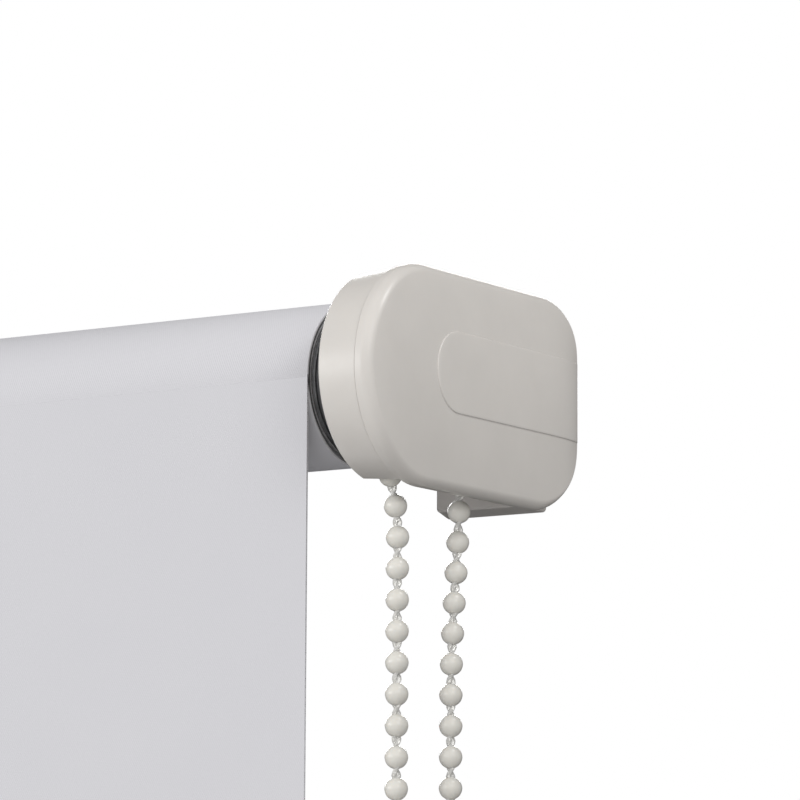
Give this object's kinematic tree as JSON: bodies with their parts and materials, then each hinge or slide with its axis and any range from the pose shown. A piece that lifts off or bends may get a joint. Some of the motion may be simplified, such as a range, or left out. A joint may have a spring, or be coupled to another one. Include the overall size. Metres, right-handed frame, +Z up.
{
  "type": "roller blind",
  "caption": "Chain-driven roller blind with covered end brackets, wrap-spring clutch, sprung idle pin, weighted hem and a wall-mounted chain tensioner.",
  "frame": {"origin": "wall face of the control bracket, level with the roller axis", "axes": "+X along the roller towards the control end, +Y into the wall, +Z up; the room is on the -Y side"},
  "size_m": [0.5034, 0.0984, 0.6707],
  "materials": {
    "cover": "satin",
    "bracket": "satin",
    "badge": "satin",
    "chain": "satin",
    "connector": "gloss",
    "hub": "matte",
    "wheel": "satin",
    "plug": "matte",
    "spring": "bright",
    "screw": "zinc plated",
    "tube": "mill",
    "fabric": "fine twill",
    "roll": "fine twill",
    "spline": "matte",
    "hem": "mill"
  },
  "bodies": {
    "mounting": {"bead_chain": "chain", "chain_connector": "connector", "chain_guide": "hub", "clutch_hub": "hub", "control_badge": "badge", "control_bracket": "bracket", "control_cap": "cover", "control_housing": "cover", "control_wall_screw_lower": "screw", "control_wall_screw_upper": "screw", "fabric_sheet": "fabric", "hub_screw": "screw", "hub_washer": "screw", "idle_badge": "badge", "idle_bracket": "bracket", "idle_cap": "cover", "idle_housing": "cover", "idle_wall_screw_lower": "screw", "idle_wall_screw_upper": "screw", "tensioner_fork": "bracket", "tensioner_pin": "screw", "tensioner_wall_screw_lower": "screw", "tensioner_wall_screw_upper": "screw"},
    "roller": {"roller_tube": "tube", "fabric_spline": "spline", "fabric_roll": "roll", "tube_adaptor": "plug", "chain_wheel": "wheel", "brake_spring_outer": "spring", "brake_spring_inner": "spring", "idle_plug": "plug", "idle_bush": "wheel", "idle_spring": "spring"},
    "hem": {"hem_bar": "hem", "hem_pocket": "fabric", "hem_cap_left": "cover", "hem_cap_right": "cover"},
    "pulley": {"tensioner_pulley": "wheel"},
    "idle_pin_body": {"idle_pin": "screw"}
  },
  "joints": [
    {"name": "roller_spin", "type": "hinge", "parent": "mounting", "child": "roller", "pos_m": [0, -0.044, 0], "axis": [-1, 0, 0], "range_deg": [0, 2154]},
    {"name": "hem_lift", "type": "slide", "parent": "mounting", "child": "hem", "axis": [0, 0, 1], "range_m": [0, 0.6], "deforming": ["fabric_sheet"]},
    {"name": "pulley_spin", "type": "hinge", "parent": "mounting", "child": "pulley", "pos_m": [0.0051, -0.044, -0.42], "axis": [-1, 0, 0], "range_deg": [0, 2801]},
    {"name": "idle_pin_slide", "type": "slide", "parent": "mounting", "child": "idle_pin_body", "axis": [1, 0, 0], "range_m": [0, 0.0045], "stiffness_N_per_m": 300, "springref_m": -0.01, "deforming": ["idle_spring"]}
  ],
  "couplings": [
    {"joint": "hem_lift", "follows": "roller_spin", "m_per_rad": 0.01595},
    {"joint": "pulley_spin", "follows": "roller_spin", "ratio": 1.3}
  ]
}
